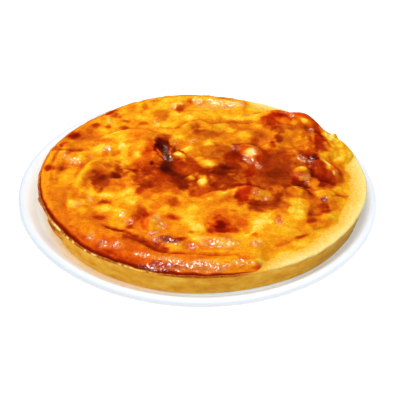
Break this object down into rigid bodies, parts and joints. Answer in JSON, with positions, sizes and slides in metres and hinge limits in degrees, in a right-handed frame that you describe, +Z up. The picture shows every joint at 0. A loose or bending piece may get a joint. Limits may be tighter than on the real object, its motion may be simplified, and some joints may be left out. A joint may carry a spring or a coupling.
{
  "type": "milk tart",
  "caption": "Round baked milk tart with a browned, blistered custard top in a low straight pastry shell, lying on a plain white rimmed plate.",
  "frame": {"origin": "centre of the plate's foot ring, on the surface the plate stands on", "axes": "+Z up; the picture looks along +Y from about 35 degrees above, with +X to its right"},
  "size_m": [0.2556, 0.2556, 0.0367],
  "materials": {
    "white_glaze": "glossy white glaze",
    "pastry": "dry, fine-grained golden baked shortcrust, paler on its broad rim",
    "baked_custard": "yellow to dark brown baked skin, glossy in patches"
  },
  "bodies": {
    "root": {"plate": "white_glaze", "pastry_shell": "pastry", "custard_filling": "baked_custard"}
  },
  "joints": []
}
